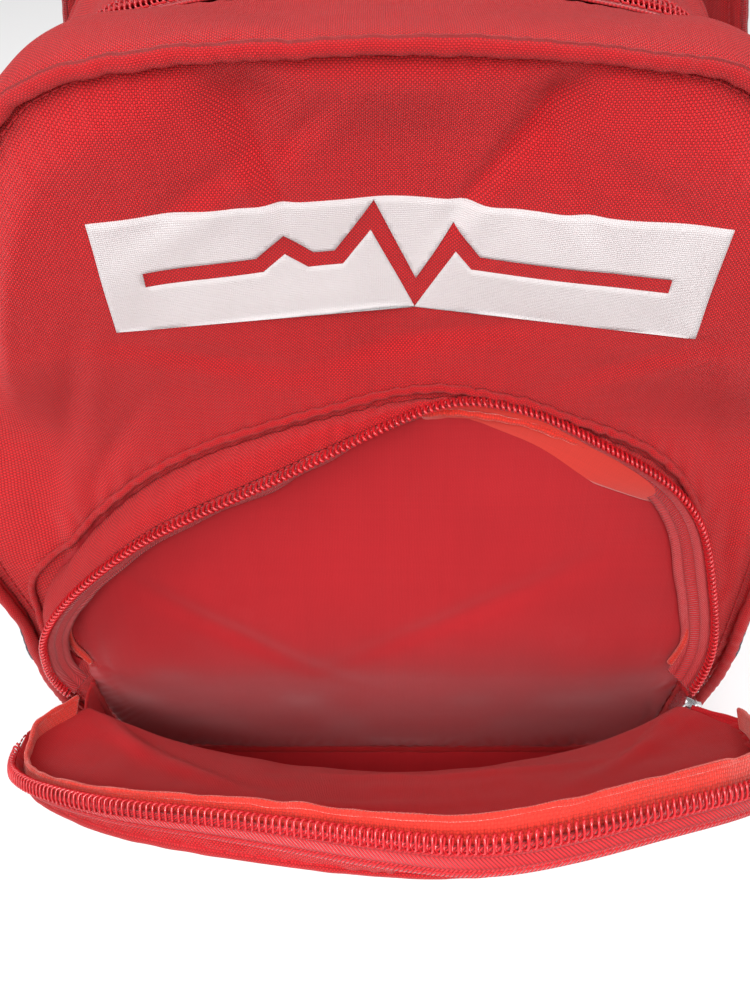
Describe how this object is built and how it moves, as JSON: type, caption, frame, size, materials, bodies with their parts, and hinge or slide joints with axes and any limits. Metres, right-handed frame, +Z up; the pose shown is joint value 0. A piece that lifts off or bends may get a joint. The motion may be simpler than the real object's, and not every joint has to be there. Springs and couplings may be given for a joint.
{
  "type": "trauma backpack",
  "caption": "Red soft backpack for emergency kit, with an arched zipped front pocket folded open, a main zip round the top, mesh side pockets, grab handle and padded straps.",
  "frame": {"origin": "middle of the base on the floor, midway between the sides", "axes": "+Z up, -Y out of the front panel, +Y towards the wearer, +X to the right seen from the front"},
  "size_m": [0.3681, 0.4316, 0.4531],
  "materials": {
    "red_woven": "plain-weave coated polyester",
    "dark_red_webbing": "coarse woven webbing",
    "red_zip_tape": "herringbone zip tape",
    "red_zip_coil": "glossy nylon coil",
    "white_print": "matt screen print",
    "dark_mesh": "knitted mesh",
    "black_elastic": "ribbed elastic tape",
    "slider_metal": "satin plated",
    "black_plastic": "moulded",
    "foam": "closed-cell foam",
    "binding": "fuzzy binding tape"
  },
  "bodies": {
    "shell": {"back_panel": "red_woven", "back_foam": "foam", "rear_gusset": "red_woven", "base_gusset": "red_woven", "base_stiffener": "black_plastic", "main_zip_tape_rear": "red_zip_tape", "main_zip_coil_rear": "red_zip_coil", "back_piping": "dark_red_webbing", "mesh_pocket_left": "dark_mesh", "mesh_trim_left": "black_elastic", "mesh_pocket_right": "dark_mesh", "mesh_trim_right": "black_elastic", "strap_anchor_left": "red_woven", "strap_anchor_right": "red_woven", "strap_yoke": "red_woven"},
    "front": {"front_panel": "red_woven", "front_gusset": "red_woven", "main_zip_tape_front": "red_zip_tape", "main_zip_coil_front": "red_zip_coil", "front_piping": "red_woven", "label_print": "white_print", "pocket_coil_body": "red_zip_coil", "pocket_tape_body": "red_zip_tape", "pocket_upper_gusset": "red_woven", "pocket_piping": "red_woven", "pocket_lower_front": "red_woven", "pocket_lower_gusset": "red_woven"},
    "flap": {"flap_coil": "red_zip_coil", "flap_tape": "red_zip_tape", "flap_gusset": "red_woven", "flap_panel": "red_woven", "flap_binding": "binding"},
    "pocket_zip_slider": {"pocket_slider": "slider_metal"},
    "pocket_zip_pull": {"pocket_pull": "slider_metal"},
    "main_zip_slider_left": {"main_slider_left": "slider_metal"},
    "main_zip_pull_left": {"main_pull_left": "slider_metal"},
    "main_zip_slider_right": {"main_slider_right": "slider_metal"},
    "main_zip_pull_right": {"main_pull_right": "slider_metal"},
    "handle": {"grab_handle": "dark_red_webbing"},
    "strap_left": {"shoulder_pad_left": "red_woven", "ladder_lock_left": "black_plastic", "strap_webbing_left": "dark_red_webbing"},
    "tail_left": {"webbing_tail_left": "dark_red_webbing"},
    "strap_right": {"shoulder_pad_right": "red_woven", "ladder_lock_right": "black_plastic", "strap_webbing_right": "dark_red_webbing"},
    "tail_right": {"webbing_tail_right": "dark_red_webbing"}
  },
  "joints": [
    {"name": "main_open", "type": "hinge", "parent": "shell", "child": "front", "pos_m": [0, -0.1175, 0.0032], "axis": [1, 0, 0], "range_deg": [0, 28], "stiffness_Nm_per_rad": 3},
    {"name": "pocket_flap", "type": "hinge", "parent": "front", "child": "flap", "pos_m": [0, -0.135, 0.112], "axis": [1, 0, 0], "range_deg": [-61, 35]},
    {"name": "pocket_slider_travel", "type": "hinge", "parent": "front", "child": "pocket_zip_slider", "pos_m": [0.052, -0.11594, 0.15475], "axis": [0, -0.9499, 0.3125], "range_deg": [0, 86]},
    {"name": "pocket_pull_lift", "type": "hinge", "parent": "pocket_zip_slider", "child": "pocket_zip_pull", "pos_m": [0.14924, -0.13207, 0.1057], "axis": [0, -0.9499, 0.3125], "range_deg": [-8, 60]},
    {"name": "main_slider_travel_left", "type": "hinge", "parent": "shell", "child": "main_zip_slider_left", "pos_m": [0, 0, 0.01921], "axis": [0, -1, 0], "range_deg": [0, 13]},
    {"name": "main_pull_lift_left", "type": "hinge", "parent": "main_zip_slider_left", "child": "main_zip_pull_left", "pos_m": [-0.01314, 0, 0.39904], "axis": [0, 1, 0], "range_deg": [0, 80]},
    {"name": "main_slider_travel_right", "type": "hinge", "parent": "shell", "child": "main_zip_slider_right", "pos_m": [0, 0, 0.01921], "axis": [0, 1, 0], "range_deg": [0, 13]},
    {"name": "main_pull_lift_right", "type": "hinge", "parent": "main_zip_slider_right", "child": "main_zip_pull_right", "pos_m": [0.01314, 0, 0.39904], "axis": [0, -1, 0], "range_deg": [0, 80]},
    {"name": "handle_flop", "type": "hinge", "parent": "shell", "child": "handle", "pos_m": [0, 0.0824, 0.352], "axis": [-1, 0, 0], "range_deg": [0, 35]},
    {"name": "strap_swing_left", "type": "hinge", "parent": "shell", "child": "strap_left", "pos_m": [-0.099, 0.094, 0.33], "axis": [0.1008, 0, 0.9949], "range_deg": [-34, 22]},
    {"name": "strap_adjust_left", "type": "slide", "parent": "strap_left", "child": "tail_left", "axis": [0.0408, -0.2395, -0.97], "range_m": [0, 0.03]},
    {"name": "strap_swing_right", "type": "hinge", "parent": "shell", "child": "strap_right", "pos_m": [0.099, 0.094, 0.33], "axis": [0.1008, 0, -0.9949], "range_deg": [-34, 6]},
    {"name": "strap_adjust_right", "type": "slide", "parent": "strap_right", "child": "tail_right", "axis": [-0.1239, -0.1711, -0.9774], "range_m": [0, 0.03]}
  ]
}
